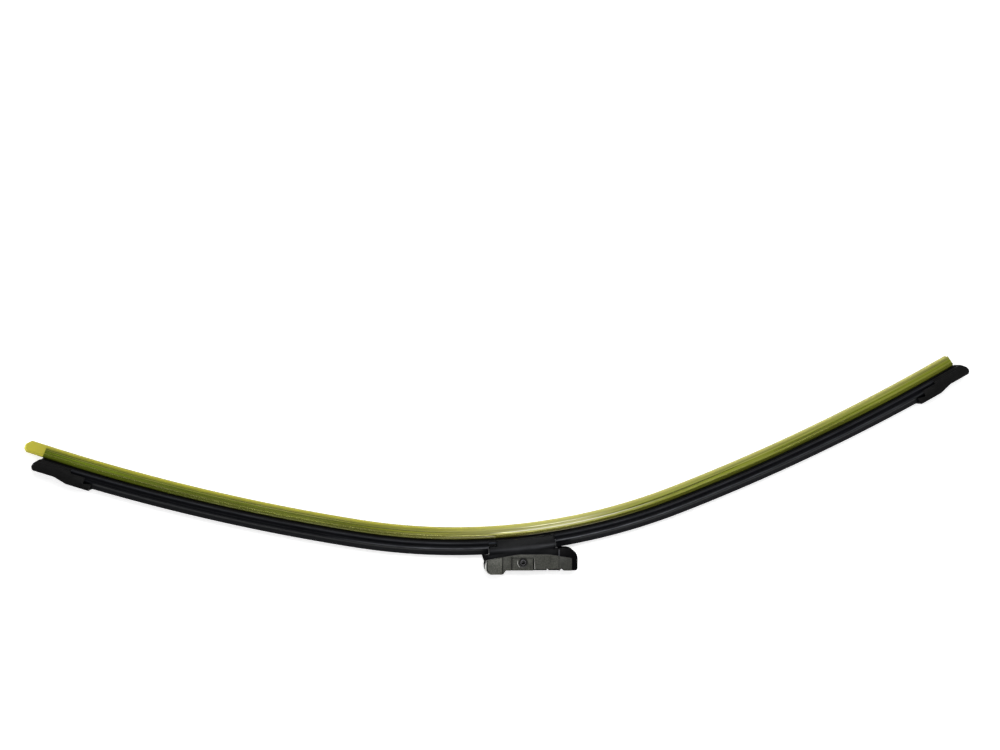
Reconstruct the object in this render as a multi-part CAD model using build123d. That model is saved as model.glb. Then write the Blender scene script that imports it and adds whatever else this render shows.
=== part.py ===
from build123d import *
import os
from math import cos, degrees, sin

# A flat wiper blade of the beam kind, lying on its side with no load on it. Millimetres.
# X runs along the seat for the wiper arm, Y towards the glass, Z up from the blade's mid-plane.
# The origin lies on the arm seat, in line with the pivot.
# In a section, u is the distance from the mid-plane, and v the distance from the middle of the
# spring rails towards the glass. Along the blade, s is the length of bow from its middle.

# Bow of the blade
BLADE_LENGTH = 648.0
BOW_RADIUS = 411.0
BOW_HALF = 108.0
TIP_RADIUS = 1372.0

# Clearances
RAIL_PLAY = 0.05
HEAD_PLAY = 0.15
END_PLAY = 0.5
RUNNING_PLAY = 0.06
SIDE_PLAY = 0.4

# Spring rails
RAIL_INNER = 1.3
RAIL_WIDTH = 3.4
RAIL_THICKNESS = 0.9
RAIL_END_SETBACK = 7.0

# Wiper rubber
RUBBER_SETBACK = (4.9, 6.7)
HEAD_HALF = 3.3
HEAD_THICKNESS = 1.4
BODY_HALF = 2.2
BODY_V = 2.4
NECK_HALF = 0.7
NECK_HEIGHT = 1.05
SHOULDER_HALF = 2.3
SHOULDER_HEIGHT = 1.0
LIP_ROOT_HALF = 1.0
LIP_ROOT_V = 5.4
LIP_TIP_HALF = 0.42
LIP_TIP_V = 9.7

# Transport sleeve over the lip
SLEEVE_WALL = 0.55
SLEEVE_TOP_V = 11.0
SLEEVE_OVERHANG = 8.2
SLEEVE_SETBACK = 7.1
SLEEVE_HALF = 3.3
SLEEVE_WIDEST_V = 5.2
SLEEVE_CREASE_HALF = 2.3
SLEEVE_CREASE_V = 7.9
SLEEVE_TOP_HALF = 1.35
SLEEVE_FOOT_HALF = 2.95
SLEEVE_HOOK_INNER = 1.25

# Spoiler
SPOILER_V = 7.6
SPOILER_EDGE_HALF = 1.0
SPOILER_HOLLOW = (3.6, 4.6)
FLARE_HALF = 6.6
FLARE_V = (2.7, 3.4)
GROOVE_HALF = 4.7
GROOVE_V = (1.3, 2.1)
CLAW_HALF = 6.1
CLAW_V = (-0.1, 0.75)
CLAW_CHAMFER = 0.8
CLAW_THICKNESS = 0.9
CLAW_LIP_PLAY = 0.3

# Connector base
BASE_CLAWS = (-16.6, 21.5)
BASE_CLAW_SLOT = (15.2, 19.8)
ROOF_HALF_LENGTH = 21.5
BASE_HALF = 7.6
BASE_CLAW_THICKNESS = 1.4
CREASE_V = 4.9
ROOF_V = 7.6
WEB_HALF = 6.6
WEB_WALL = 2.2
WEB_TOP = 9.0
WEB_SHOULDER = 20.5
WEB_TAIL_TOP = 6.7
WEB_TAILS = ((24.5, 1.2), (-24.2, 3.4))
WEB_KNEES = ((11.0, -0.6), (-11.0, -0.2))
BOSS_RADIUS = 3.3

# Pivot
REST_TILT = 6.2
PIVOT_ABOVE_SEAT = 5.2
PIVOT_AT = (-0.7, -14.1)
RIVET_RADIUS = 2.0
RIVET_HOLE_RADIUS = 0.8
FLANGE_RADIUS = 2.3
FLANGE_THICKNESS = 0.45

# Adapter, measured from the pivot
CHEEK_HALF = 9.0
CHEEK_INNER = WEB_HALF + SIDE_PLAY
HEAD_WALL_HALF = 8.2
DECK_THICKNESS = 1.6
DECK_STEP = 0.4
LOBE_LEFT = -25.1
LOBE_RIGHT = -14.1
LOBE_DEPTH = 7.9
LOBE_RAISE = 0.5
LOBE_ROUND = 4.0
STOP_X = (-13.4, -11.4)
COVER_RIGHT = 32.3
ADAPTER_RIGHT = 36.1
ARCH = ((-24.4, 1.7), (-2.5, 5.4), (17.2, 5.4), (32.3, 3.0))
LEFT_EAR_X = (-26.8, -23.5, -19.0)
LEFT_EAR_TOP = 5.0
RIGHT_EAR_X = 23.4
RIGHT_EAR_TOP = (9.5, 9.0)
END_WALL = 2.6
LEFT_WALL_TOP = -2.0
RIGHT_WALL_TOP = 1.8
PIVOT_PANEL = (-7.2, 6.6)
PIVOT_PANEL_TOP = 3.0
PANEL_DEPTH = 0.5
GROOVE_X = (-8.0, -7.2)
GROOVE_DEPTH = 1.3
LOBE_GROOVE = 0.8
SLIT_X = (6.6, 7.4)
TAB_RIGHT = 15.8
NOTCH_X = (15.8, 17.0)
LATCH_X = (17.8, 23.5)
LATCH_TOP = 4.5
FOOT_RECESS = 0.9
NOTCH_TOP = -4.0
DECK_NOTCH_TOP = -4.2
GATE_X = (24.4, 26.6)
GATE_TOP = -3.5
SEAM_X = (23.5, 24.1)
COLLAR_RADIUS = 3.9
COUNTERBORE_RADIUS = 3.2
COUNTERBORE_DEPTH = 0.9

# End caps, measured from the nose along the blade
CAP_LENGTH = 40.5
CAP_WALL = 0.9
CAP_NOSE = ((3.8, 1.5), (0.8, -1.8), (0.0, -4.4), (1.6, -6.6))
CAP_NOSE_ROUND = (2.0, 2.4, 1.5)
CAP_RAMP = ((16.0, -6.6), (24.5, -8.8))
CAP_CLAW_LENGTH = 25.5
CAP_SIDE_LENGTH = 35.1
CAP_SIDE_V = -1.2
CAP_LEDGE_V = -0.2
CAP_LEDGE_END = 4.5
CAP_TONGUE_V = (-4.2, -5.4)
CAP_HOLLOW_V = -5.6

# Sizes that follow from those above
HALF_LENGTH = BLADE_LENGTH / 2
RAIL_OUTER = RAIL_INNER + RAIL_WIDTH
SLOT = RAIL_THICKNESS / 2 + RAIL_PLAY
HEAD_V = SLOT + HEAD_THICKNESS
NECK_V = BODY_V + NECK_HEIGHT
SHOULDER_V = NECK_V + SHOULDER_HEIGHT
CAVITY_HALF = HEAD_HALF + HEAD_PLAY
CAVITY_V = HEAD_V + HEAD_PLAY
CLAW_TIP = HEAD_HALF + CLAW_LIP_PLAY
CAP_HALF = FLARE_HALF + CAP_WALL
SPOILER_END = HALF_LENGTH - CAP_CLAW_LENGTH
SEAT = -PIVOT_ABOVE_SEAT
DECK = SEAT + DECK_THICKNESS
SHELF = SEAT + DECK_STEP
LOBE_WALL = (LOBE_RIGHT - DECK_THICKNESS, STOP_X[1] - 0.6)

# Planes and turning centres of the bow
SECTION = Plane(origin=(0, 0, 0), x_dir=(0, 0, 1), z_dir=(-1, 0, 0))
BOW_TURN = BOW_HALF / BOW_RADIUS
MIDDLE_AXIS = Axis((0, BOW_RADIUS, 0), (0, 0, 1))


def tip_axis(side):
    """The turning axis of the flatter bow towards the end on this side."""
    more = TIP_RADIUS - BOW_RADIUS
    x = -side * more * sin(BOW_TURN)
    y = BOW_RADIUS + more * cos(BOW_TURN)
    return Axis((x, y, 0), (0, 0, 1))


def station(shape, s):
    """A shape drawn at the middle of the blade, carried along the bow to s."""
    side = 1 if s > 0 else -1
    inner = side * min(abs(s), BOW_HALF)
    placed = shape.rotate(MIDDLE_AXIS, degrees(inner / BOW_RADIUS))
    if abs(s) > BOW_HALF:
        placed = placed.rotate(tip_axis(side), degrees((s - inner) / TIP_RADIUS))
    return placed


def run(face, start, end):
    """A section carried along the bow from start to end."""
    spans = (
        (-HALF_LENGTH * 2, -BOW_HALF, tip_axis(-1), TIP_RADIUS),
        (-BOW_HALF, BOW_HALF, MIDDLE_AXIS, BOW_RADIUS),
        (BOW_HALF, HALF_LENGTH * 2, tip_axis(1), TIP_RADIUS),
    )
    solid = None
    for low, high, axis, radius in spans:
        s0 = max(start, low)
        s1 = min(end, high)
        if s1 > s0:
            piece = revolve(station(face, s0), axis, degrees((s1 - s0) / radius))
            solid = piece if solid is None else solid + piece
    return solid


def outline(corners):
    """A closed face from corners (x, y) or (x, y, corner radius)."""
    points = [(c[0], c[1]) for c in corners]
    radii = [c[2] if len(c) > 2 else 0 for c in corners]
    return make_face(FilletPolyline(*points, radius=radii, close=True))


def section(half):
    """A section alike on both sides of the mid-plane, from the corners of its upper half."""
    other = [(-c[0], *c[1:]) for c in reversed(half) if c[0] > 0]
    return SECTION * outline(list(half) + other)


def slab(face, low, high):
    """A side outline made solid between two heights, on both sides of the mid-plane."""
    upper = extrude(Pos(0, 0, low) * face, high - low)
    return upper + mirror(upper, Plane.XY)


def block(x0, x1, y0, y1, low, high):
    """Two boxes, one on each side of the mid-plane."""
    return slab(outline(((x0, y0), (x1, y0), (x1, y1), (x0, y1))), low, high)


def spring_rail(side):
    """A strip of spring steel, one on each side of the rubber's web."""
    middle = side * (RAIL_INNER + RAIL_WIDTH / 2)
    end = HALF_LENGTH - RAIL_END_SETBACK
    return run(SECTION * (Pos(middle, 0) * Rectangle(RAIL_WIDTH, RAIL_THICKNESS)), -end, end)


def wiper_rubber():
    """Head and body that hold the rails, neck, shoulder and wiping lip in one extrusion."""
    start = RUBBER_SETBACK[0] - HALF_LENGTH
    end = HALF_LENGTH - RUBBER_SETBACK[1]
    face = section((
        (0, -HEAD_V),
        (HEAD_HALF, -HEAD_V),
        (HEAD_HALF, -SLOT),
        (RAIL_INNER, -SLOT),
        (RAIL_INNER, SLOT),
        (HEAD_HALF, SLOT),
        (HEAD_HALF, HEAD_V - 0.5),
        (BODY_HALF, BODY_V),
        (NECK_HALF, BODY_V),
        (NECK_HALF, NECK_V),
        (SHOULDER_HALF, NECK_V),
        (SHOULDER_HALF, SHOULDER_V),
        (LIP_ROOT_HALF, LIP_ROOT_V),
        (LIP_TIP_HALF, LIP_TIP_V),
        (0, LIP_TIP_V),
    ))
    return run(face, start, end)


def lip_sleeve():
    """Clear plastic channel that hooks over the shoulder and keeps the lip straight."""
    wall = SLEEVE_WALL
    start = -HALF_LENGTH - SLEEVE_OVERHANG
    end = HALF_LENGTH - SLEEVE_SETBACK
    face = section((
        (0, NECK_V - wall - 2),
        (SLEEVE_HOOK_INNER, NECK_V - wall - 2),
        (SLEEVE_HOOK_INNER, NECK_V - wall),
        (SLEEVE_FOOT_HALF - 0.4, NECK_V - wall),
        (SLEEVE_FOOT_HALF, NECK_V - wall + 0.5),
        (SLEEVE_HALF, SLEEVE_WIDEST_V),
        (SLEEVE_CREASE_HALF, SLEEVE_CREASE_V),
        (SLEEVE_TOP_HALF, SLEEVE_TOP_V, 0.7),
        (0, SLEEVE_TOP_V),
    ))
    inside = section((
        (0, NECK_V - wall - 3),
        (SLEEVE_HOOK_INNER, NECK_V - wall - 3),
        (SLEEVE_HOOK_INNER, NECK_V),
        (SLEEVE_FOOT_HALF - wall + 0.2, NECK_V),
        (SLEEVE_HALF - wall, SLEEVE_WIDEST_V),
        (SLEEVE_CREASE_HALF - wall, SLEEVE_CREASE_V),
        (SLEEVE_TOP_HALF - wall, SLEEVE_TOP_V - wall),
        (0, SLEEVE_TOP_V - wall),
    ))
    sleeve = run(face - inside, start, end)
    # both ends are trimmed with the corners off
    for s, side, top, foot in ((start, -1, 3.0, 2.0), (end, 1, 1.6, 0.8)):
        for v, size, way in ((SLEEVE_TOP_V, top, -1), (NECK_V - wall, foot, 1)):
            corner = outline(((side, v), (-side * size, v), (0, v + way * size), (side, v + way * size)))
            corner += outline(((-side * size, v), (side, v), (side, v - way), (-side * size, v - way)))
            sleeve -= station(extrude(corner, 2 * SLEEVE_HALF, both=True), s)
    return sleeve


def spoiler():
    """Rubber-like extrusion that grips the rails with its claws and stands up to the wind."""
    claw_v = SLOT + CLAW_THICKNESS
    face = section((
        (0, -SPOILER_V),
        (SPOILER_EDGE_HALF - 0.4, -SPOILER_V),
        (SPOILER_EDGE_HALF, -SPOILER_V + 0.4),
        (SPOILER_HOLLOW[0], -SPOILER_HOLLOW[1], 6.0),
        (FLARE_HALF, -FLARE_V[1]),
        (FLARE_HALF, -FLARE_V[0]),
        (GROOVE_HALF, -GROOVE_V[1]),
        (GROOVE_HALF, -GROOVE_V[0]),
        (CLAW_HALF, CLAW_V[0]),
        (CLAW_HALF, CLAW_V[1]),
        (CLAW_HALF - CLAW_CHAMFER, claw_v),
        (CLAW_TIP, claw_v),
        (CLAW_TIP, SLOT),
        (RAIL_OUTER, SLOT),
        (RAIL_OUTER, -SLOT),
        (CAVITY_HALF, -SLOT),
        (CAVITY_HALF, -CAVITY_V),
        (0, -CAVITY_V),
    ))
    return run(face, ROOF_HALF_LENGTH + END_PLAY, SPOILER_END)


def end_cap():
    """Moulded cap over the end of rails and spoiler, open towards the lip."""
    middle = CAP_LENGTH / 2
    corners = [(middle - a, v) for a, v in CAP_NOSE + CAP_RAMP]
    for i, radius in enumerate(CAP_NOSE_ROUND + (3.0, 3.0)):
        corners[i + 1] = (*corners[i + 1], radius)
    tongue = middle - CAP_LENGTH
    side_end = middle - CAP_SIDE_LENGTH
    claw_end = middle - CAP_CLAW_LENGTH
    low = CAP_RAMP[1][1]
    glass = CAP_NOSE[0][1]
    corners += [
        (tongue, low, 1.2),
        (tongue, CAP_TONGUE_V[0]),
        (side_end, CAP_TONGUE_V[1]),
        (side_end, CAP_SIDE_V),
        (claw_end, CAP_SIDE_V),
        (claw_end, glass),
    ]
    cap = extrude(outline(corners), CAP_HALF, both=True)
    rim = cap.edges().filter_by(lambda e: abs(abs(e.center().Z) - CAP_HALF) < 0.01)
    sky = rim.filter_by(lambda e: e.center().Y < CAP_NOSE[3][1] + 0.7 or e.center().X > middle - 3.0)
    cap = fillet(sky, 1.1)
    cap = station(cap, HALF_LENGTH - middle)
    over = section((
        (0, -SPOILER_V - RAIL_PLAY),
        (FLARE_HALF, -SPOILER_V - RAIL_PLAY),
        (FLARE_HALF, glass + 1),
        (0, glass + 1),
    ))
    rails = section(((0, CAP_HOLLOW_V), (RAIL_OUTER, CAP_HOLLOW_V), (RAIL_OUTER, SLOT), (0, SLOT)))
    lip = section(((0, 0), (CLAW_TIP, 0), (CLAW_TIP, glass + 1), (0, glass + 1)))
    cap -= run(over, HALF_LENGTH - CAP_LENGTH - 2, SPOILER_END + END_PLAY)
    beside = section(((0, CAP_LEDGE_V), (CAP_HALF + 1, CAP_LEDGE_V), (CAP_HALF + 1, glass + 1), (0, glass + 1)))
    claw = section((
        (0, CAP_LEDGE_V - 1),
        (CLAW_HALF, CAP_LEDGE_V - 1),
        (CLAW_HALF, CLAW_V[1]),
        (CLAW_HALF - CLAW_CHAMFER, glass),
        (CLAW_HALF - CLAW_CHAMFER, glass + 2),
        (0, glass + 2),
    ))
    cap -= run(beside - claw, SPOILER_END - 1, HALF_LENGTH - CAP_LEDGE_END)
    inner_end = HALF_LENGTH - min(RAIL_END_SETBACK, *RUBBER_SETBACK) + END_PLAY
    cap -= run(rails, SPOILER_END, inner_end)
    cap -= run(lip, SPOILER_END, inner_end)
    return cap


def connector_base():
    """Moulded bracket that grips both rails at mid-length and carries the pivot bore."""
    claw_v = SLOT + BASE_CLAW_THICKNESS
    grip = section((
        (0, -ROOF_V),
        (WEB_HALF, -ROOF_V),
        (BASE_HALF, -CREASE_V, 1.2),
        (BASE_HALF, claw_v, 0.5),
        (CLAW_TIP, claw_v, 0.3),
        (CLAW_TIP, SLOT),
        (RAIL_OUTER, SLOT),
        (RAIL_OUTER, -SLOT),
        (CAVITY_HALF, -SLOT),
        (CAVITY_HALF, -CAVITY_V),
        (0, -CAVITY_V),
    ))
    roof_v = CAVITY_V + 0.2
    roof = section((
        (0, -ROOF_V),
        (WEB_HALF, -ROOF_V),
        (BASE_HALF, -CREASE_V, 1.2),
        (BASE_HALF, -roof_v),
        (0, -roof_v),
    ))
    base = run(grip, *BASE_CLAWS) + run(roof, -ROOF_HALF_LENGTH, ROOF_HALF_LENGTH)
    slot = section(((0, claw_v - 0.8), (BASE_HALF + 1, claw_v - 0.8), (BASE_HALF + 1, claw_v + 1), (0, claw_v + 1)))
    base -= run(slot, *BASE_CLAW_SLOT)
    side = outline((
        (WEB_SHOULDER, WEB_TOP),
        (WEB_SHOULDER, WEB_TAIL_TOP),
        (WEB_TAILS[0][0], WEB_TAIL_TOP),
        WEB_TAILS[0],
        WEB_KNEES[0],
        (BOSS_RADIUS * 0.78, -BOSS_RADIUS * 0.6),
        (-BOSS_RADIUS * 0.78, -BOSS_RADIUS * 0.6),
        WEB_KNEES[1],
        WEB_TAILS[1],
        (WEB_TAILS[1][0], WEB_TAIL_TOP),
        (-WEB_SHOULDER, WEB_TAIL_TOP),
        (-WEB_SHOULDER, WEB_TOP),
    ))
    side += Circle(BOSS_RADIUS)
    web = extrude(side, WEB_HALF, both=True)
    web -= extrude(Circle(RIVET_RADIUS), WEB_HALF + 1, both=True)
    core = WEB_HALF - WEB_WALL
    web -= Box(4 * BOSS_RADIUS, 4 * BOSS_RADIUS, 2 * core)
    return base + Pos(*PIVOT_AT) * web


def pivot_rivet():
    """Hollow steel rivet through base and adapter, its ends rolled over."""
    flange_low = CHEEK_HALF - COUNTERBORE_DEPTH + RUNNING_PLAY
    flange_high = flange_low + FLANGE_THICKNESS
    rivet = extrude(Circle(RIVET_RADIUS), flange_high, both=True)
    flange = chamfer(Cylinder(FLANGE_RADIUS, FLANGE_THICKNESS).edges().group_by(Axis.Z)[-1], 0.2)
    flange = Pos(0, 0, (flange_low + flange_high) / 2) * flange
    rivet += flange + mirror(flange, Plane.XY)
    rivet -= extrude(Circle(RIVET_HOLE_RADIUS), flange_high + 1, both=True)
    return Pos(*PIVOT_AT) * rivet


def right_ear():
    """Side outline of the core's right end and of the head above it."""
    return outline((
        (RIGHT_EAR_X, SEAT),
        (ADAPTER_RIGHT, SEAT, 1.8),
        (ADAPTER_RIGHT, RIGHT_EAR_TOP[1], 6.5),
        (RIGHT_EAR_X, RIGHT_EAR_TOP[0], 0.5),
    ))


def gate(top):
    """Side outline of the gate that the arm's lug enters, up to the given height."""
    lean = 0.6
    return outline((
        (GATE_X[0] - lean, SEAT - 1),
        (GATE_X[1] + lean, SEAT - 1),
        (GATE_X[1] - lean, top),
        (GATE_X[0] + lean, top),
    ))


def adapter_core():
    """Black inner moulding: the deck that the arm lies on, the right end, and ears inside both cheeks."""
    left_ear = outline((
        (LEFT_EAR_X[2], SEAT),
        (LEFT_EAR_X[2], -1.0),
        (LEFT_EAR_X[1], 0.5),
        (LEFT_EAR_X[1], LEFT_EAR_TOP, 0.8),
        (LEFT_EAR_X[0], LEFT_EAR_TOP, 0.8),
        (LOBE_LEFT + 0.4, -1.0),
        (LOBE_LEFT + 1.4, SEAT),
    ))
    end = right_ear() & Pos(ADAPTER_RIGHT, RIGHT_WALL_TOP - 10) * Rectangle(2 * (ADAPTER_RIGHT - COVER_RIGHT), 20)
    core = slab(left_ear, CHEEK_INNER, HEAD_WALL_HALF) + slab(right_ear(), CHEEK_INNER, HEAD_WALL_HALF)
    core += slab(end, 0, HEAD_WALL_HALF)
    core += block(LOBE_WALL[1] + RAIL_PLAY, COVER_RIGHT + 1, SEAT, DECK, 0, CHEEK_INNER)
    core += block(LOBE_LEFT + END_WALL + RAIL_PLAY, LOBE_WALL[1] + 1, SHELF, DECK, 0, CHEEK_INNER)
    core -= block(*NOTCH_X, SEAT - 1, DECK_NOTCH_TOP, 0, CHEEK_HALF)
    core -= slab(gate(DECK_NOTCH_TOP), 0, CHEEK_HALF)
    return Pos(0, PIVOT_ABOVE_SEAT) * core


def cover_shell():
    """Two cheeks joined by the lobe's floor and walls, hollowed for the core."""
    face = outline((
        ARCH[0],
        (LOBE_LEFT, -2.5),
        (LOBE_LEFT + 0.4, -LOBE_DEPTH, LOBE_ROUND),
        (STOP_X[0], -LOBE_DEPTH, 0.5),
        (STOP_X[1], SEAT, 0.4),
        (COVER_RIGHT, SEAT, 0.6),
        (COVER_RIGHT, ARCH[3][1], 0.6),
        (*ARCH[2], 40.0),
        (*ARCH[1], 40.0),
    ))
    inner_left = LOBE_LEFT + END_WALL
    lobe_floor = DECK_THICKNESS - LOBE_DEPTH
    above = ARCH[1][1] + 2
    hollow = outline((
        (inner_left, lobe_floor),
        (LOBE_WALL[0], lobe_floor),
        (LOBE_WALL[0], SHELF),
        (LOBE_WALL[1], SHELF),
        (LOBE_WALL[1], SEAT - 3),
        (COVER_RIGHT + 2, SEAT - 3),
        (COVER_RIGHT + 2, above),
        (LOBE_LEFT - 4, above),
        (LOBE_LEFT - 4, LEFT_WALL_TOP),
        (inner_left, LEFT_WALL_TOP),
    ))
    shell = slab(face, 0, CHEEK_HALF) - slab(hollow, 0, CHEEK_INNER)
    ear = HEAD_WALL_HALF + RAIL_PLAY
    shell -= block(LOBE_LEFT - 4, LEFT_EAR_X[2] + RAIL_PLAY, SEAT, above, CHEEK_INNER, ear)
    return shell - block(RIGHT_EAR_X - RAIL_PLAY, COVER_RIGHT + 2, SEAT - 3, above, CHEEK_INNER, ear)


def adapter_housing():
    """Grey cover with the panels, grooves, sprung tabs and pivot collars of its two cheeks."""
    top = ARCH[1][1] + 1
    out = CHEEK_HALF + 1
    face = CHEEK_HALF - PANEL_DEPTH
    housing = cover_shell()
    raised = outline((
        (LOBE_LEFT + 0.9, 1.0),
        (LOBE_LEFT + 0.9, -2.5),
        (LOBE_LEFT + 1.2, -LOBE_DEPTH + 0.2, LOBE_ROUND - 0.6),
        (LOBE_RIGHT, -LOBE_DEPTH + 0.2),
        (LOBE_RIGHT, 3.0),
    ))
    housing += slab(raised, face, CHEEK_HALF + LOBE_RAISE)
    housing -= block(*PIVOT_PANEL, SEAT - 1, PIVOT_PANEL_TOP, face, out)
    housing -= block(*GROOVE_X, SEAT - 1, PIVOT_PANEL_TOP + 0.8, CHEEK_HALF - GROOVE_DEPTH, out)
    housing -= block(LOBE_RIGHT, LOBE_RIGHT + LOBE_GROOVE, SEAT - 4, top, CHEEK_HALF - GROOVE_DEPTH, out)
    housing -= block(*LATCH_X, SEAT - 1, LATCH_TOP, CHEEK_HALF - 0.3, out)
    housing -= block(*SEAM_X, SEAT - 1, top, CHEEK_HALF - 0.4, out)
    housing -= block(*SLIT_X, SEAT - 1, PIVOT_PANEL_TOP - 0.2, CHEEK_INNER - 1, out)
    for left, right in ((SLIT_X[0], TAB_RIGHT), (NOTCH_X[1], SEAM_X[0])):
        housing -= block(left, right, SEAT - 1, SEAT + FOOT_RECESS, CHEEK_INNER - 1, out)
    housing -= block(*NOTCH_X, SEAT - 1, NOTCH_TOP, CHEEK_INNER - 1, out)
    housing -= slab(gate(GATE_TOP), CHEEK_INNER - 1, out)
    housing += slab(Circle(COLLAR_RADIUS), CHEEK_INNER, CHEEK_HALF)
    housing -= slab(Circle(COUNTERBORE_RADIUS), CHEEK_HALF - COUNTERBORE_DEPTH, out)
    housing -= slab(Circle(RIVET_RADIUS + RUNNING_PLAY), 0, out)
    return Pos(0, PIVOT_ABOVE_SEAT) * housing


def on_blade(shape):
    """A piece of the blade, tilted at the pivot as the blade lies at rest."""
    return Pos(0, PIVOT_ABOVE_SEAT) * Rot(0, 0, REST_TILT) * Pos(-PIVOT_AT[0], -PIVOT_AT[1]) * shape


def write(name, shape):
    export_step(shape.solids()[0], f"parts/{name}.step")


os.makedirs("parts", exist_ok=True)
right_spoiler = spoiler()
right_cap = end_cap()
write("adapter_housing", adapter_housing())
write("adapter_core", adapter_core())
write("connector_base", on_blade(connector_base()))
write("pivot_rivet", on_blade(pivot_rivet()))
write("spring_rail_front", on_blade(spring_rail(1)))
write("spring_rail_rear", on_blade(spring_rail(-1)))
write("wiper_rubber", on_blade(wiper_rubber()))
write("lip_sleeve", on_blade(lip_sleeve()))
write("spoiler_right", on_blade(right_spoiler))
write("spoiler_left", on_blade(mirror(right_spoiler, Plane.YZ)))
write("end_cap_right", on_blade(right_cap))
write("end_cap_left", on_blade(mirror(right_cap, Plane.YZ)))
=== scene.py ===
"""The wiper blade as photographed: camera, light, materials and finished pieces. Metres."""

import math

import bmesh
import bpy
from mathutils import Matrix, Vector


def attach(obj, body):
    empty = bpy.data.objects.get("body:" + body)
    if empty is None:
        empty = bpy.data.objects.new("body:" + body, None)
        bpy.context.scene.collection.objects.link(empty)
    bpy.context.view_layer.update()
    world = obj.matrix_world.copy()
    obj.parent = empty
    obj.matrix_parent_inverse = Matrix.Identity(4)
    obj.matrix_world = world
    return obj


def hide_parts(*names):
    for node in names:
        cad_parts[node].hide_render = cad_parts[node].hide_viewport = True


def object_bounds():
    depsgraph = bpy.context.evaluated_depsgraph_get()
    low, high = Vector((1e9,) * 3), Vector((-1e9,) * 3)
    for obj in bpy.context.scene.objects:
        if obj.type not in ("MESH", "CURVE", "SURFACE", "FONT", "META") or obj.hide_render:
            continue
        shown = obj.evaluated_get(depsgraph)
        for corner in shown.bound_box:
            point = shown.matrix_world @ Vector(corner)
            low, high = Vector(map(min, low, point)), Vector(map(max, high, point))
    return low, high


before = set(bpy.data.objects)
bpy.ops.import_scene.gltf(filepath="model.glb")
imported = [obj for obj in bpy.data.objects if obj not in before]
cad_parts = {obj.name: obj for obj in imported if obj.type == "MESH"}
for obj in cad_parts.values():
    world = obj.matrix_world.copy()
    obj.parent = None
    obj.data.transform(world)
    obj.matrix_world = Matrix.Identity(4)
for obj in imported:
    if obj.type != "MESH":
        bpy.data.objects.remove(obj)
cad_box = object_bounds()
MM = 0.001

# Bow of the blade and its place on the pivot, as in the solids
BOW_RADIUS = 411.0 * MM
BOW_HALF = 108.0 * MM
TIP_RADIUS = 1372.0 * MM
BOW_TURN = BOW_HALF / BOW_RADIUS
PIVOT = Vector((0, 5.2 * MM, 0))
REST_TILT = math.radians(6.2)
BLADE_PLACE = (
    Matrix.Translation(PIVOT)
    @ Matrix.Rotation(REST_TILT, 4, "Z")
    @ Matrix.Translation((0.7 * MM, 14.1 * MM, 0))
)

# Ends of the long pieces along the bow, counted from its middle
RUBBER_ENDS = (-319.1 * MM, 317.3 * MM)
SLEEVE_ENDS = (-332.2 * MM, 316.9 * MM)
SPOILER_INNER_END = 22.0 * MM
SPOILER_OUTER_END = 298.5 * MM

# Camera of the photograph: it stands a little to the left of the blade's middle
CAMERA_DISTANCE = 1.2
CAMERA_YAW = math.radians(4.38)
CAMERA_ROLL = math.radians(0.44)
CAMERA_AIM = Vector((-15.62, 128.68, 0.0)) * MM
CAMERA_LENS = 65.2

# How the pieces are drawn
CORNER_SEGMENTS = 5
SPIN_STEP = 4.0 * MM
SAME_POINT = 0.0001 * MM
SOLID_WELD = 0.002 * MM


# Small helpers


def linear(colour):
    """An sRGB hex colour in the linear values that shaders take."""
    values = [int(colour[i : i + 2], 16) / 255 for i in (1, 3, 5)]
    return [v / 12.92 if v <= 0.04045 else ((v + 0.055) / 1.055) ** 2.4 for v in values] + [1.0]


def feed(socket, value):
    """Gives an input a value, or links it to an output or to a node's first open output."""
    if isinstance(value, bpy.types.Node):
        value = next(output for output in value.outputs if output.enabled)
    if isinstance(value, bpy.types.NodeSocket):
        socket.id_data.links.new(value, socket)
    else:
        socket.default_value = value


def add(tree, kind, *values, stops=(), **named):
    """One shader node with its settings and links.

    The values go to its open inputs in turn. A name with a capital is an input, any other is a setting.
    Stops are a position and a hex colour each, for a colour ramp.
    """
    node = tree.nodes.new(kind)
    for name, value in named.items():
        if name.islower():
            setattr(node, name, value)
    for socket, value in zip([entry for entry in node.inputs if entry.enabled], values):
        feed(socket, value)
    for name, value in named.items():
        if not name.islower():
            feed(node.inputs[name], value)
    if stops:
        band = node.color_ramp.elements
        while len(band) < len(stops):
            band.new(0.5)
        for element, (place, colour) in zip(band, stops):
            element.position = place
            element.color = linear(colour)
    return node


def per_size(*sizes):
    """The scale of a pattern whose marks have these sizes in millimetres."""
    return [1 / (size * MM) for size in sizes]


def new_material(name):
    """A material with its principled shader, ready for nodes."""
    material = bpy.data.materials.new(name)
    material.use_nodes = True
    return material, material.node_tree, material.node_tree.nodes["Principled BSDF"]


def painted(material):
    """The nodes of a made material, its colour input and what feeds it so far, to paint over."""
    socket = material.node_tree.nodes["Principled BSDF"].inputs["Base Color"]
    return material.node_tree, socket, socket.links[0].from_socket


def only(obj):
    """Leaves one object selected and active."""
    bpy.ops.object.select_all(action="DESELECT")
    obj.select_set(True)
    bpy.context.view_layer.objects.active = obj


def finish_piece(obj, name, body, material, slot, *nodes):
    """Names a finished piece and ties it to its body, its finish and the solids it stands for."""
    obj.name = name
    obj.data.name = name
    obj.data.materials.clear()
    obj.data.materials.append(material)
    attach(obj, body)
    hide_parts(*nodes)


# Camera, floor and light


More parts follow.
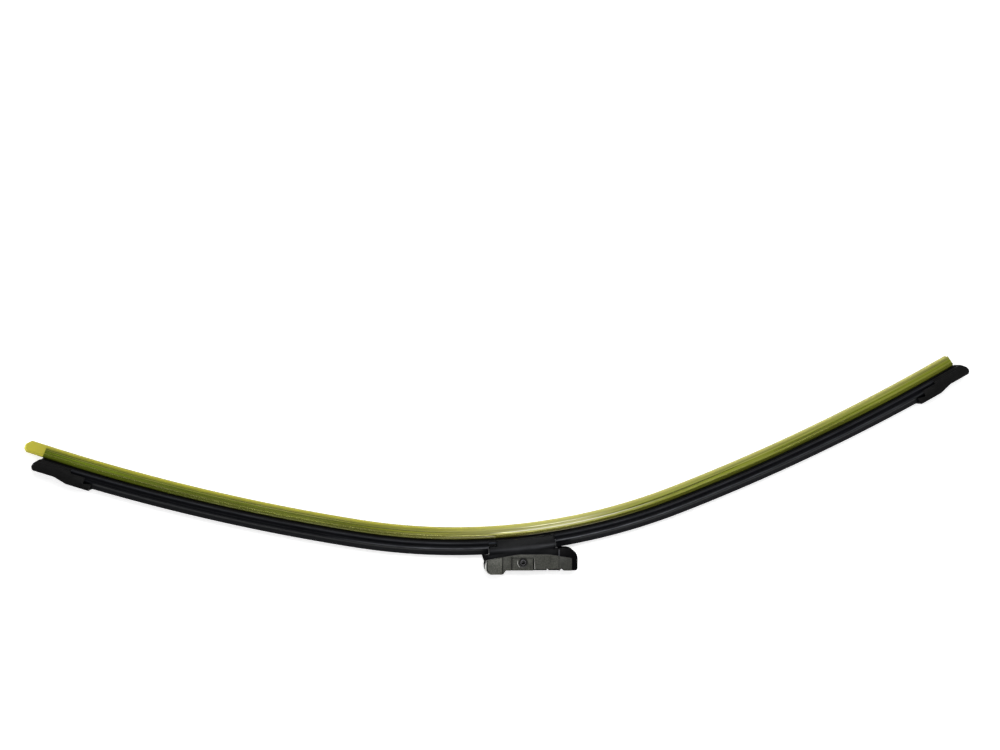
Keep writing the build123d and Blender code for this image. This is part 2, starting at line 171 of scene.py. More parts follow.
def place_camera():
    """Stands the camera where the photograph was taken."""
    data = bpy.data.cameras.new("photo_camera")
    data.sensor_width = 36.0
    data.lens = CAMERA_LENS
    data.clip_start = 0.05
    data.clip_end = 20.0
    camera = bpy.data.objects.new("photo_camera", data)
    bpy.context.scene.collection.objects.link(camera)
    turn = Matrix.Rotation(-CAMERA_YAW, 4, "Y") @ Matrix.Rotation(CAMERA_ROLL, 4, "Z")
    camera.matrix_world = Matrix.Translation(CAMERA_AIM) @ turn @ Matrix.Translation((0, 0, CAMERA_DISTANCE))
    bpy.context.scene.camera = camera


def softbox(name, place, aim, size, watts):
    """A white lamp with a flat front, standing at one place and turned to another."""
    data = bpy.data.lights.new(name, "AREA")
    data.shape = "RECTANGLE"
    data.size, data.size_y = size
    data.energy = watts
    lamp = bpy.data.objects.new(name, data)
    bpy.context.scene.collection.objects.link(lamp)
    # the lamps light and shine, but aren't themselves seen through the clear sleeve
    lamp.visible_transmission = False
    lamp.visible_camera = False
    lamp.location = place
    lamp.rotation_euler = (Vector(aim) - Vector(place)).to_track_quat("-Z", "Y").to_euler()


def place_light():
    """Sets the lamps round the blade, and dim walls behind them."""
    # two boxes at the sides pick out the edges that look their way
    softbox("box_left", (-1.3, 0.1, 0.9), (0, 0.06, 0), (0.5, 0.8), 5)
    softbox("box_right", (1.3, 0.1, 0.9), (0, 0.06, 0), (0.5, 0.8), 6)
    # plain light from high up on the glass side, clear of what the sleeve's flat sides mirror
    softbox("high_box", (0.0, 0.5, 1.35), (0, 0.03, 0), (0.6, 0.4), 5.0)
    # a low strip on the glass side lights ridges and the sleeve's rim
    softbox("low_strip", (-0.3, 1.7, 0.9), (0, 0.06, 0), (1.2, 0.25), 3.5)
    # a small lamp puts the whitest shine on the sleeve over the adapter
    softbox("small_lamp", (0.005, 0.14, 0.40), (0.02, 0.02, 0), (0.07, 0.07), 0.5)
    # a box on the arm side brightens the bracket's crease
    softbox("box_arm_side", (-0.1, -0.75, 1.4), (0, 0.0, 0), (0.8, 0.3), 2.5)
    world = bpy.data.worlds.new("studio")
    bpy.context.scene.world = world
    world.use_nodes = True
    tree = world.node_tree
    back = tree.nodes["Background"]
    # dim walls, dark overhead where the camera stands
    way = add(tree, "ShaderNodeTexCoord").outputs["Generated"]
    height = add(tree, "ShaderNodeSeparateXYZ", way).outputs["Z"]
    feed(back.inputs["Color"], add(tree, "ShaderNodeValToRGB", height, stops=(
        (0.0, "#b0b0b0"), (0.3, "#808080"), (0.6, "#484848"), (0.8, "#303030"),
    )))
    back.inputs["Strength"].default_value = 1.0


def lay_floor():
    """Lays white paper under the blade."""
    bpy.ops.object.select_all(action="DESELECT")
    bpy.ops.mesh.primitive_plane_add(size=6.0, location=(0, 0, cad_box[0].z))
    floor = bpy.context.object
    floor.name = "studio_floor"
    material, tree, shader = new_material("white_studio_paper")
    shader.inputs["Base Color"].default_value = linear("#f4f4f4")
    shader.inputs["Roughness"].default_value = 0.9
    shader.inputs["Specular IOR Level"].default_value = 0.1
    # the paper is lit up to plain white where it is seen, and keeps its shadow
    path = add(tree, "ShaderNodeLightPath").outputs
    seen = add(tree, "ShaderNodeMath", 1.0, path["Is Diffuse Ray"], operation="SUBTRACT")
    seen = add(tree, "ShaderNodeMath", seen, path["Is Transmission Ray"], operation="ADD")
    lift = add(tree, "ShaderNodeMath", seen, 0.6, operation="MULTIPLY")
    shader.inputs["Emission Color"].default_value = (1, 1, 1, 1)
    feed(shader.inputs["Emission Strength"], lift)
    floor.data.materials.append(material)


# Materials


def moulded_plastic(name, dark, pale, rough, level, depth, cloud):
    """Injection moulded plastic: a matt grain this deep, slow clouds of shade this wide, in millimetres."""
    material, tree, shader = new_material(name)
    where = add(tree, "ShaderNodeTexCoord").outputs["Object"]
    # grain of 0.9 mm, coarser than the real one so that it is seen
    grain = add(tree, "ShaderNodeTexNoise", where, Scale=1 / (0.9 * MM), Detail=3.0)
    clouds = add(tree, "ShaderNodeTexNoise", where, Scale=1 / (cloud * MM), Detail=4.0, Roughness=0.6)
    share = add(tree, "ShaderNodeMath", clouds, 0.4, operation="MULTIPLY")
    shade = add(tree, "ShaderNodeMath", grain, 0.6, share, operation="MULTIPLY_ADD")
    colour = add(tree, "ShaderNodeValToRGB", shade, stops=((0.38, dark), (0.62, pale)))
    feed(shader.inputs["Base Color"], colour)
    # the tops of the grain are a little more matt than its hollows
    matt = add(tree, "ShaderNodeMapRange", grain, 0.0, 1.0, rough - 0.08, rough + 0.08)
    feed(shader.inputs["Roughness"], matt)
    bump = add(tree, "ShaderNodeBump", Height=grain, Distance=depth * MM, Strength=0.6)
    feed(shader.inputs["Normal"], bump)
    shader.inputs["Specular IOR Level"].default_value = level
    return material


def extruded_rubber(name, dark, pale, rough, level):
    """Extruded rubber: die lines along the blade, and a faint bloom in patches."""
    material, tree, shader = new_material(name)
    lie = add(tree, "ShaderNodeAttribute", attribute_name="lie").outputs["Vector"]
    # die lines of about half a millimetre, drawn out to 200 mm along the blade
    drawn = add(tree, "ShaderNodeMapping", lie, Scale=per_size(200.0, 0.5556, 0.5556))
    lines = add(tree, "ShaderNodeTexNoise", drawn, Scale=1.0, Detail=3.0)
    # bloom in patches of 22 by 6 mm
    spots = add(tree, "ShaderNodeMapping", lie, Scale=per_size(22.22, 6.25, 6.25))
    bloom = add(tree, "ShaderNodeTexNoise", spots, Scale=1.0, Detail=5.0, Roughness=0.65)
    share = add(tree, "ShaderNodeMath", bloom, 0.5, operation="MULTIPLY")
    shade = add(tree, "ShaderNodeMath", lines, 0.5, share, operation="MULTIPLY_ADD")
    colour = add(tree, "ShaderNodeValToRGB", shade, stops=((0.35, dark), (0.65, pale)))
    feed(shader.inputs["Base Color"], colour)
    # where it has bloomed it is more matt
    matt = add(tree, "ShaderNodeMapRange", bloom, 0.0, 1.0, rough - 0.1, rough + 0.1)
    feed(shader.inputs["Roughness"], matt)
    bump = add(tree, "ShaderNodeBump", Height=lines, Distance=0.05 * MM, Strength=0.5)
    feed(shader.inputs["Normal"], bump)
    shader.inputs["Specular IOR Level"].default_value = level
    return material


def steel(name, dark, pale, rough):
    """Steel with a drawn, slightly dulled surface: a dark metal shine in fine specks."""
    material, tree, shader = new_material(name)
    where = add(tree, "ShaderNodeTexCoord").outputs["Object"]
    # specks of 0.7 mm, coarser than the real ones so that they are seen
    specks = add(tree, "ShaderNodeTexNoise", where, Scale=1 / (0.7143 * MM), Detail=4.0)
    colour = add(tree, "ShaderNodeValToRGB", specks, stops=((0.35, dark), (0.65, pale)))
    feed(shader.inputs["Base Color"], colour)
    matt = add(tree, "ShaderNodeMapRange", specks, 0.0, 1.0, rough - 0.08, rough + 0.08)
    feed(shader.inputs["Roughness"], matt)
    shader.inputs["Metallic"].default_value = 1.0
    return material


def patch(tree, place, left, right, low, high):
    """1 inside a box of X and Y in millimetres, fading to 0 over its blurred edge."""
    blur = 0.2
    insides = []
    for axis, near, far in (("X", left, right), ("Y", low, high)):
        half = (far - near) / 2
        off = add(tree, "ShaderNodeMath", place[axis], (near + far) / 2 * MM, operation="SUBTRACT")
        off = add(tree, "ShaderNodeMath", off, operation="ABSOLUTE")
        insides.append(add(tree, "ShaderNodeMapRange", off, (half + blur) * MM, (half - blur) * MM))
    return add(tree, "ShaderNodeMath", *insides, operation="MULTIPLY")


def stripe(tree, place, at, reach):
    """1 along a soft line at this height on the blade, fading to 0 at this distance, in millimetres."""
    off = add(tree, "ShaderNodeMath", place["Y"], at * MM, operation="SUBTRACT")
    off = add(tree, "ShaderNodeMath", off, operation="ABSOLUTE")
    return add(tree, "ShaderNodeMapRange", off, reach * MM, 0.0)


def paint_edge_highlights(material, colour):
    """Painted highlights on the edges that were broken wide."""
    tree, socket, plain = painted(material)
    edge_highlight = add(tree, "ShaderNodeAttribute", attribute_name="edge_highlight").outputs["Fac"]
    feed(socket, add(tree, "ShaderNodeMix", edge_highlight, plain, linear(colour), data_type="RGBA"))


def paint_highlight_line(material, at, reach, colour, *fades):
    """A painted highlight: a paler, broken line along the blade at this height.

    Each fade is a weak place, a strong place and the least strength; places and sizes are in millimetres.
    """
    tree, socket, plain = painted(material)
    lie = add(tree, "ShaderNodeAttribute", attribute_name="lie").outputs["Vector"]
    place = add(tree, "ShaderNodeSeparateXYZ", lie).outputs
    # breaks of 14 mm along the line and 2 mm across it
    drawn = add(tree, "ShaderNodeMapping", lie, Scale=per_size(14.286, 2.0, 2.0))
    breaks = add(tree, "ShaderNodeTexNoise", drawn, Scale=1.0, Detail=4.0)
    share = add(tree, "ShaderNodeMapRange", breaks, 0.35, 0.65, 0.4)
    share = add(tree, "ShaderNodeMath", share, stripe(tree, place, at, reach), operation="MULTIPLY")
    for weak, strong, least in fades:
        fade = add(tree, "ShaderNodeMapRange", place["X"], weak * MM, strong * MM, least)
        share = add(tree, "ShaderNodeMath", share, fade, operation="MULTIPLY")
    feed(socket, add(tree, "ShaderNodeMix", share, plain, linear(colour), data_type="RGBA"))


def paint_core_highlight(material):
    """A painted highlight down the near side of the core's right end."""
    tree, socket, plain = painted(material)
    where = add(tree, "ShaderNodeTexCoord").outputs["Object"]
    place = add(tree, "ShaderNodeSeparateXYZ", where).outputs
    line = patch(tree, place, 23.3, 24.1, 8.0, 14.0)
    feed(socket, add(tree, "ShaderNodeMix", line, plain, linear("#4a4b4e"), data_type="RGBA"))


def paint_rivet_shade(material):
    """Darkens the rivet with painted shade in its bore and at its rim, leaving its plain steel on a ring
    between.
    """
    tree, socket, plain = painted(material)
    where = add(tree, "ShaderNodeTexCoord").outputs["Object"]
    flat = add(tree, "ShaderNodeVectorMath", where, (1, 1, 0), operation="MULTIPLY")
    away = add(tree, "ShaderNodeVectorMath", flat, PIVOT, operation="DISTANCE")
    part = add(tree, "ShaderNodeMapRange", away, 0.0, 2.5 * MM)
    tone = add(tree, "ShaderNodeValToRGB", part, stops=(
        (0.46, "#0c0c0e"), (0.54, "#ffffff"), (0.7, "#f0f0f0"), (0.8, "#242426"),
    ))
    feed(socket, add(tree, "ShaderNodeMix", 1.0, plain, tone, data_type="RGBA", blend_type="MULTIPLY"))


def paint_cover_light_and_shade(material):
    """Paints light and shade on the grey cover: palest at the lobe, darker towards the arm, and painted shade
    in grooves, round the rivet and in the steps.
    """
    tree, socket, plain = painted(material)
    where = add(tree, "ShaderNodeTexCoord").outputs["Object"]
    place = add(tree, "ShaderNodeSeparateXYZ", where).outputs
    # painted light: palest at the lobe, darker towards the arm
    along = add(tree, "ShaderNodeMapRange", place["X"], -30 * MM, 34 * MM)
    tone = add(tree, "ShaderNodeValToRGB", along, stops=(
        (0.245, "#ffffff"), (0.255, "#d2d2d2"), (0.7, "#d4d4d4"),
        (0.82, "#cecece"), (0.86, "#a8a8a8"), (1.0, "#9a9a9a"),
    ))
    # painted shade on the faces sunk below the cover's sides
    depth = add(tree, "ShaderNodeMath", place["Z"], operation="ABSOLUTE")
    recess_shade = add(tree, "ShaderNodeMapRange", depth, 7.7 * MM, 8.3 * MM, 0.4, 1.0)
    # painted shade round the rivet
    flat = add(tree, "ShaderNodeVectorMath", where, (1, 1, 0), operation="MULTIPLY")
    away = add(tree, "ShaderNodeVectorMath", flat, PIVOT, operation="DISTANCE")
    ring = add(tree, "ShaderNodeMapRange", away, 3.0 * MM, 3.3 * MM, 0.35, 1.0)
    # painted shade: a dark line along the foot of the raised lobe, inside its highlighted rim
    inner = add(tree, "ShaderNodeVectorMath", flat, Vector((-21.1, 1.3, 0)) * MM, operation="SUBTRACT")
    inner = add(tree, "ShaderNodeVectorMath", inner, (0, 0, 0), operation="MINIMUM")
    inner = add(tree, "ShaderNodeVectorMath", inner, operation="LENGTH")
    inner = add(tree, "ShaderNodeMath", inner, 2.85 * MM, operation="SUBTRACT")
    inner = add(tree, "ShaderNodeMath", inner, operation="ABSOLUTE")
    line = add(tree, "ShaderNodeMapRange", inner, 0.35 * MM, 0.6 * MM, 0.1, 1.0)
    near = add(tree, "ShaderNodeMapRange", place["X"], -23.2 * MM, -22.0 * MM)
    line = add(tree, "ShaderNodeMath", line, near, operation="MAXIMUM")
    painted_shade = add(tree, "ShaderNodeMath", recess_shade, ring, operation="MULTIPLY")
    painted_shade = add(tree, "ShaderNodeMath", painted_shade, line, operation="MULTIPLY")
    # painted shade in the steps: over the pivot panel, beside and under the sprung tab and the latch;
    # left, right, low and high in millimetres, then how dark
    for *box, dark in (
        (-7.2, 6.4, 7.7, 8.6, 0.4),
        (17.6, 18.2, 5.4, 10.2, 0.4),
        (23.4, 24.0, 0.8, 9.8, 0.35),
        (7.8, 15.6, -0.3, 0.8, 0.65),
        (17.8, 23.4, -0.3, 0.5, 0.6),
    ):
        step_shade = add(tree, "ShaderNodeMath", patch(tree, place, *box), dark, operation="MULTIPLY")
        light = add(tree, "ShaderNodeMath", 1.0, step_shade, operation="SUBTRACT")
        painted_shade = add(tree, "ShaderNodeMath", painted_shade, light, operation="MULTIPLY")
    toned = add(tree, "ShaderNodeMix", 1.0, plain, tone, data_type="RGBA", blend_type="MULTIPLY")
    feed(socket, add(tree, "ShaderNodeVectorMath", toned, operation="SCALE", Scale=painted_shade))


def clear_yellow_plastic():
    """Soft clear plastic tinted yellow: painted bright where light comes through, olive and streaked over
    rubber, with painted highlights and a painted shaded foot.
    """
    material, tree, shader = new_material("clear_yellow_plastic")
    lie = add(tree, "ShaderNodeAttribute", attribute_name="lie").outputs["Vector"]
    place = add(tree, "ShaderNodeSeparateXYZ", lie).outputs
    # drawn lines about a millimetre wide and 80 mm long, and slow waves of 40 by 11 mm
    drawn = add(tree, "ShaderNodeMapping", lie, Scale=per_size(83.33, 1.25, 1.25))
    lines = add(tree, "ShaderNodeTexNoise", drawn, Scale=1.0, Detail=1.0)
    slow = add(tree, "ShaderNodeMapping", lie, Scale=per_size(40.0, 11.11, 11.11))
    waves = add(tree, "ShaderNodeTexNoise", slow, Scale=1.0, Detail=1.0)
    # green towards both ends, yellower in the middle
    along = add(tree, "ShaderNodeMapRange", place["X"], -320 * MM, 320 * MM)
    olive = add(tree, "ShaderNodeValToRGB", along, stops=(
        (0.0, "#a4bc34"), (0.3, "#a2ae3a"), (0.5, "#cac650"), (0.7, "#c0cc4c"), (1.0, "#ccda50"),
    ))
    streak = add(tree, "ShaderNodeValToRGB", lines, stops=(
        (0.34, "#b4b4b4"), (0.5, "#dcdcdc"), (0.64, "#ffffff"),
    ))
    olive = add(tree, "ShaderNodeMix", 1.0, olive, streak, data_type="RGBA", blend_type="MULTIPLY")
    # two painted highlight lines run along the flat of the wall, stronger to the right: height and reach in
    # millimetres
    strong = add(tree, "ShaderNodeMapRange", along, 0.5, 0.75, 0.9, 1.6)
    strong = add(tree, "ShaderNodeMath", strong, waves, operation="MULTIPLY")
    for at, reach in ((8.1, 0.45), (5.8, 0.3)):
        pale = stripe(tree, place, at, reach)
        pale = add(tree, "ShaderNodeMath", pale, strong, operation="MULTIPLY", use_clamp=True)
        olive = add(tree, "ShaderNodeMix", pale, olive, linear("#e6e284"), data_type="RGBA")
    # painted sheen: the wall is painted paler and milkier over the adapter, and lets less light through there
    enter = add(tree, "ShaderNodeMapRange", place["X"], -60 * MM, 10 * MM)
    leave = add(tree, "ShaderNodeMapRange", place["X"], 82 * MM, 38 * MM)
    high = add(tree, "ShaderNodeMapRange", place["Y"], 5.0 * MM, 6.2 * MM)
    adapter_sheen = add(tree, "ShaderNodeMath", enter, leave, operation="MULTIPLY")
    adapter_sheen = add(tree, "ShaderNodeMath", adapter_sheen, high, operation="MULTIPLY")
    sheen_tint = linear("#e2e09a")
    sheen_colour = add(tree, "ShaderNodeMix", 1.0, sheen_tint, streak, data_type="RGBA", blend_type="MULTIPLY")
    olive = add(tree, "ShaderNodeMix", adapter_sheen, olive, sheen_colour, data_type="RGBA")
    clear = add(tree, "ShaderNodeMath", adapter_sheen, -0.25, 0.6, operation="MULTIPLY_ADD")
    # painted highlights along folds over the adapter, which also raise the bump: strength and height,
    # then start, rise, end and fall along the blade in millimetres
    height = waves
    for strength, at, start, rise, end, fall in (
        (0.85, 6.4, -22, 20, 110, 60),
        (0.7, 3.3, -4, 10, 90, 40),
        (0.8, 4.3, -80, 60, -17, 1),
        (0.5, 8.5, -6, 20, 66, 30),
    ):
        painted_glint = add(tree, "ShaderNodeMath", stripe(tree, place, at, 0.45), strength, operation="MULTIPLY")
        enter = add(tree, "ShaderNodeMapRange", place["X"], start * MM, (start + rise) * MM)
        leave = add(tree, "ShaderNodeMapRange", place["X"], end * MM, (end - fall) * MM)
        painted_glint = add(tree, "ShaderNodeMath", painted_glint, enter, operation="MULTIPLY")
        painted_glint = add(tree, "ShaderNodeMath", painted_glint, leave, operation="MULTIPLY")
        olive = add(tree, "ShaderNodeMix", painted_glint, olive, linear("#fffef2"), data_type="RGBA")
        clear = add(tree, "ShaderNodeMath", painted_glint, -0.5, clear, operation="MULTIPLY_ADD", use_clamp=True)
        height = add(tree, "ShaderNodeMath", painted_glint, 0.3, height, operation="MULTIPLY_ADD")
    # past the rubber's end and above its lip the wall is painted paler, for the light that comes through it
    # there
    behind = add(tree, "ShaderNodeMapRange", place["X"], -319.4 * MM, -318.8 * MM)
    below = add(tree, "ShaderNodeMapRange", place["Y"], 10.0 * MM, 8.3 * MM)
    lit_through_tint = add(tree, "ShaderNodeValToRGB", along, stops=(
        (0.0, "#e8e268"), (0.05, "#e0dc5c"), (0.4, "#e0dc68"), (0.6, "#e8e48c"), (1.0, "#efec98"),
    ))
    over = add(tree, "ShaderNodeMath", behind, below, operation="MULTIPLY")
    tint = add(tree, "ShaderNodeMix", over, lit_through_tint, olive, data_type="RGBA")
    # painted shade darkens and greys the foot where the rubber is
    foot = add(tree, "ShaderNodeMapRange", place["Y"], 2.9 * MM, 6.6 * MM)
    foot_shade = add(tree, "ShaderNodeValToRGB", foot, stops=(
        (0.0, "#908c84"), (0.35, "#c4c0b6"), (0.65, "#e6e4dc"), (1.0, "#ffffff"),
    ))
    colour = add(tree, "ShaderNodeMix", behind, tint, foot_shade, data_type="RGBA", blend_type="MULTIPLY")
    feed(shader.inputs["Base Color"], colour)
    feed(shader.inputs["Roughness"], add(tree, "ShaderNodeMapRange", waves, 0.0, 1.0, 0.14, 0.26))
    bump = add(tree, "ShaderNodeBump", Height=height, Distance=0.5 * MM, Strength=0.8)
    feed(shader.inputs["Normal"], bump)
    # how much light the plain wall lets through, less under the painted sheen and the painted highlights
    shader.inputs["Transmission Weight"].default_value = 0.6
    feed(shader.inputs["Transmission Weight"], clear)
    shader.inputs["IOR"].default_value = 1.48
    shader.inputs["Specular Tint"].default_value = linear("#ffffb4")
    return material


# Shapes


def turn_about(centre, angle):
    """A turn about an axis along Z through a centre."""
    return Matrix.Translation(centre) @ Matrix.Rotation(angle, 4, "Z") @ Matrix.Translation(-centre)


def tip_centre(side):
    """Centre of the flatter bow towards one end."""
    more = TIP_RADIUS - BOW_RADIUS
    return Vector((-side * more * math.sin(BOW_TURN), BOW_RADIUS + more * math.cos(BOW_TURN), 0))


def station(s):
    """Where a section drawn at the middle of the blade lies at s along the bow."""
    side = 1 if s > 0 else -1
    inner = side * min(abs(s), BOW_HALF)
    place = turn_about(Vector((0, BOW_RADIUS, 0)), inner / BOW_RADIUS)
    if abs(s) > BOW_HALF:
        place = turn_about(tip_centre(side), (s - inner) / TIP_RADIUS) @ place
    return place


def lie_of(point):
    """Distance along the bow, towards the glass and from the mid-plane, of a point on the blade."""
    angle = math.atan2(point.x, BOW_RADIUS - point.y)
    if abs(angle) <= BOW_TURN:
        return BOW_RADIUS * angle, BOW_RADIUS - math.hypot(point.x, BOW_RADIUS - point.y), point.z
    side = 1 if angle > 0 else -1
    centre = tip_centre(side)
    away = Vector((point.x - centre.x, centre.y - point.y))
    s = side * BOW_HALF + TIP_RADIUS * (math.atan2(away.x, away.y) - side * BOW_TURN)
    return s, TIP_RADIUS - away.length, point.z


def note_lie(obj, place=Matrix()):
    """Keeps each point's place along and across the blade for the materials."""
    lie = obj.data.attributes.new("lie", "FLOAT_VECTOR", "POINT")
    for vertex in obj.data.vertices:
        lie.data[vertex.index].vector = lie_of(place @ vertex.co)


def draw_section(corners):
    """A flat outline across the blade from corners (u, v, rounding) in millimetres, rounded by bevels."""
    bpy.ops.object.select_all(action="DESELECT")
    bpy.ops.mesh.primitive_circle_add(vertices=len(corners), radius=10 * MM, fill_type="NGON")
    obj = bpy.context.object
    for vertex, corner in zip(obj.data.vertices, corners):
        vertex.co = (0, corner[1] * MM, corner[0] * MM)
    bpy.ops.object.mode_set(mode="EDIT")
    bpy.ops.mesh.select_mode(type="VERT")
    count = len(corners)
    for i, corner in enumerate(corners):
        if len(corner) < 3:
            continue
        here = Vector(corner[:2])
        before = (Vector(corners[i - 1][:2]) - here).normalized()
        after = (Vector(corners[(i + 1) % count][:2]) - here).normalized()
        setback = corner[2] * MM / math.tan(before.angle(after) / 2)
        edit = bmesh.from_edit_mesh(obj.data)
        for vertex in edit.verts:
            vertex.select = (vertex.co - Vector((0, here.y * MM, here.x * MM))).length < SAME_POINT
        edit.select_flush(True)
        bmesh.update_edit_mesh(obj.data)
        bpy.ops.mesh.bevel(offset_type="OFFSET", offset=setback, segments=CORNER_SEGMENTS, affect="VERTICES")
    bpy.ops.object.mode_set(mode="OBJECT")
    return obj


def other_side(corners):
    """Corners mirrored across the blade, in the order that goes on round the outline."""
    return [(-c[0], *c[1:]) for c in reversed(corners)]


def spin_along(obj, start, end):
    """Carries a drawn section along the bow by spins about each arc's centre, from start to end in metres."""
    only(obj)
    obj.matrix_world = station(start)
    bpy.ops.object.transform_apply(location=True, rotation=True, scale=False)
    bpy.ops.object.mode_set(mode="EDIT")
    bpy.ops.mesh.select_all(action="SELECT")
    for low, high, centre, radius in (
        (start, -BOW_HALF, tip_centre(-1), TIP_RADIUS),
        (-BOW_HALF, BOW_HALF, Vector((0, BOW_RADIUS, 0)), BOW_RADIUS),
        (BOW_HALF, end, tip_centre(1), TIP_RADIUS),
    ):
        length = min(end, high) - max(start, low)
        if length > 0:
            steps = max(1, round(length / SPIN_STEP))
            bpy.ops.mesh.spin(steps=steps, angle=length / radius, center=centre, axis=(0, 0, -1))
    bpy.ops.mesh.select_all(action="SELECT")
    bpy.ops.mesh.remove_doubles(threshold=SAME_POINT)
    bpy.ops.mesh.normals_make_consistent(inside=False)
    bpy.ops.object.mode_set(mode="OBJECT")


def cut_end(obj, s, v, way, rise):
    """Trims one corner off an end: a slanting cut through v at s, keeping what lies behind it."""
    place = station(s)
    only(obj)
    bpy.ops.object.mode_set(mode="EDIT")
    bpy.ops.mesh.select_all(action="SELECT")
    normal = place.to_3x3() @ Vector((way, rise, 0)).normalized()
    bpy.ops.mesh.bisect(plane_co=place @ Vector((0, v, 0)), plane_no=normal, use_fill=True, clear_outer=True)
    bpy.ops.object.mode_set(mode="OBJECT")


def seat_on_blade(obj):
    """Puts a piece drawn in the blade's own frame where the blade lies, and smooths its curves."""
    note_lie(obj)
    only(obj)
    obj.matrix_world = BLADE_PLACE
    bpy.ops.object.transform_apply(location=True, rotation=True, scale=False)
    bpy.ops.object.shade_smooth_by_angle(angle=math.radians(30))


def soften(piece, width, test):
    """Breaks the sharp edges whose middle point, in millimetres, passes a test, and marks them for a painted
    highlight.
    """
    only(piece)
    bpy.ops.object.mode_set(mode="EDIT")
    bpy.ops.mesh.select_mode(type="EDGE")
    bpy.ops.mesh.select_all(action="DESELECT")
    edit = bmesh.from_edit_mesh(piece.data)
    for edge in edit.edges:
        middle = (edge.verts[0].co + edge.verts[1].co) / 2 / MM
        outer = len(edge.link_faces) == 2 and edge.is_convex
        edge.select_set(outer and edge.calc_face_angle() > math.radians(60) and test(middle))
    bmesh.update_edit_mesh(piece.data)
    bpy.ops.mesh.bevel(offset=width, segments=3, clamp_overlap=False)
    edit = bmesh.from_edit_mesh(piece.data)
    edge_highlight = edit.faces.layers.float.get("edge_highlight") or edit.faces.layers.float.new("edge_highlight")
    for face in edit.faces:
        face[edge_highlight] = max(face[edge_highlight], float(face.select))
    bmesh.update_edit_mesh(piece.data)
    bpy.ops.object.mode_set(mode="OBJECT")


def moulding(node, radius, softer):
    """A copy of a moulded solid, its sharp edges rounded as a mould leaves them and some broken wider."""
    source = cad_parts[node]
    piece = source.copy()
    piece.data = source.data.copy()
    piece.parent = None
    for key in list(piece.keys()):
        del piece[key]
    bpy.context.scene.collection.objects.link(piece)
    only(piece)
    bpy.ops.object.mode_set(mode="EDIT")
    bpy.ops.mesh.select_all(action="SELECT")
    bpy.ops.mesh.remove_doubles(threshold=SOLID_WELD)
    bpy.ops.mesh.dissolve_limited(angle_limit=math.radians(0.5))
    bpy.ops.object.mode_set(mode="OBJECT")
    for width, test in softer:
        soften(piece, width * MM, test)
    rounding = piece.modifiers.new("rounding", "BEVEL")
    rounding.width = radius
    rounding.segments = 2
    rounding.limit_method = "ANGLE"
    rounding.angle_limit = math.radians(35)
    rounding.use_clamp_overlap = False
    rounding.harden_normals = False
    bpy.ops.object.modifier_apply(modifier="rounding")
    bpy.ops.object.shade_smooth_by_angle(angle=math.radians(40))
    return piece


def make_rubber(material):
    """Head and flange round the rails, neck, shoulder and wiping lip."""
    half = (
        (3.3, -1.9, 0.5), (3.3, -0.5), (1.3, -0.5), (1.3, 0.5), (3.3, 0.5), (3.3, 1.4, 0.3), (2.2, 2.4, 0.4),
        (0.7, 2.4, 0.2), (0.7, 3.45, 0.2), (2.3, 3.45, 0.2), (2.3, 4.45, 0.3), (1.0, 5.4, 0.4), (0.42, 9.7),
    )
    piece = draw_section([*half, *other_side(half)])
    spin_along(piece, *RUBBER_ENDS)
    seat_on_blade(piece)
    finish_piece(piece, "wiping_rubber", "blade", material, "wiper_rubber", "wiper_rubber")


def make_sleeve(material):
    """Clear channel over the lip, hooked on its shoulder, both ends trimmed."""
    foot, rim = 2.9, 11.0
    outer = ((1.25, foot, 0.2), (2.95, foot, 0.6), (3.3, 5.2, 1.0), (2.3, 7.9, 1.5), (1.35, rim, 0.7))
    inner = ((0.8, 10.45, 0.3), (1.75, 7.9, 1.0), (2.75, 5.2, 0.6), (2.6, 3.45, 0.2), (1.25, 3.45, 0.2))
    piece = draw_section([*outer, *other_side(outer), *other_side(inner), *inner])
    start, end = SLEEVE_ENDS
    spin_along(piece, start, end)
    for s, way, off_rim, off_foot in ((start, -1, 3.0, 2.0), (end, 1, 1.6, 0.8)):
        cut_end(piece, s, (rim - off_rim) * MM, way, 1)
        cut_end(piece, s, (foot + off_foot) * MM, way, -1)
    seat_on_blade(piece)
    finish_piece(piece, "clear_lip_sleeve", "blade", material, "sleeve_plastic", "lip_sleeve")


def make_spoiler(side, material):
    """Wind spoiler with flared skirts and the claws that grip the rails."""
    half = (
        (1.0, -7.6, 0.5), (3.6, -4.6, 3.0), (6.6, -3.4, 0.3), (6.6, -2.7, 0.3), (4.7, -2.1, 0.3),
        (4.7, -1.3, 0.2), (6.1, -0.1, 0.4), (6.1, 0.75, 0.4), (5.3, 1.4, 0.4), (3.6, 1.4, 0.2),
        (3.6, 0.5), (4.7, 0.5), (4.7, -0.5), (3.45, -0.5), (3.45, -2.05),
    )
    piece = draw_section([*half, *other_side(half)])
    spin_along(piece, *sorted((side * SPOILER_INNER_END, side * SPOILER_OUTER_END)))
    if side > 0:
        # its inner end is broken, and marked for a painted highlight on that edge
        def at_bracket(point):
            return point.y < -1.2 and abs(lie_of(point * MM)[0] - SPOILER_INNER_END) < 0.02 * MM

        soften(piece, 0.35 * MM, at_bracket)
    seat_on_blade(piece)
    name = "right" if side > 0 else "left"
    finish_piece(piece, f"wind_spoiler_{name}", "blade", material, "spoiler_rubber", f"spoiler_{name}")


def on_cover_side(point):
    """Whether a point in millimetres lies on one of the two flat sides of the adapter's cover."""
    return abs(abs(point.z) - 9.0) < 0.05


# acetal, grey and matt, with painted highlights on its broken edges and painted light and shade across the
# cover
grey_plastic = moulded_plastic("grey_acetal_plastic", "#3f403b", "#62635b", 0.5, 0.3, 0.05, 6)
# painted highlights on the cover's broken edges
paint_edge_highlights(grey_plastic, "#f4f4ee")
# painted light and shade across the cover
paint_cover_light_and_shade(grey_plastic)
